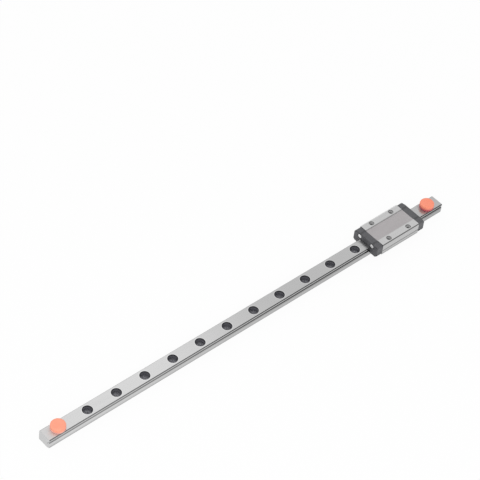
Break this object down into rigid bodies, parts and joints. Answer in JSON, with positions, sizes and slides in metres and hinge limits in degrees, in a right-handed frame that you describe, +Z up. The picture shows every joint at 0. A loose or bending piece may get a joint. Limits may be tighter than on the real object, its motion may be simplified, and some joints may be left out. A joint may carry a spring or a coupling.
{
  "type": "miniature profile linear guide rail with carriage",
  "caption": "Ground steel guide rail with counterbored fixing holes and ball grooves, a recirculating ball carriage with tapped mounting face, and a soft stopper at each end.",
  "frame": {"origin": "centre of the rail's underside at mid length, which is the bottom centre of the whole part", "axes": "+X along the rail towards the end where the carriage stands, +Y across the rail, +Z up out of the carriage's mounting face"},
  "size_m": [0.3, 0.02, 0.01],
  "materials": {
    "rail_steel": "ground",
    "block_steel": "ground and satin",
    "cap_plastic": "fine grain moulding",
    "seal_rubber": "matte",
    "screw_steel": "plated",
    "ball_steel": "polished",
    "wire_steel": "drawn",
    "stopper_rubber": "soft satin"
  },
  "bodies": {
    "rail_body": {"rail": "rail_steel", "stopper_near": "stopper_rubber", "stopper_far": "stopper_rubber"},
    "carriage": {"carriage_block": "block_steel", "end_cap_near": "cap_plastic", "end_cap_far": "cap_plastic", "end_seal_near": "seal_rubber", "end_seal_far": "seal_rubber", "cap_screw_near_left": "screw_steel", "cap_screw_near_right": "screw_steel", "cap_screw_far_left": "screw_steel", "cap_screw_far_right": "screw_steel", "ball_row_left": "ball_steel", "ball_row_right": "ball_steel", "retainer_wire_left": "wire_steel", "retainer_wire_right": "wire_steel"}
  },
  "joints": [
    {"name": "carriage_slide", "type": "slide", "parent": "rail_body", "child": "carriage", "axis": [1, 0, 0], "range_m": [-0.22385, 0.00735]}
  ]
}
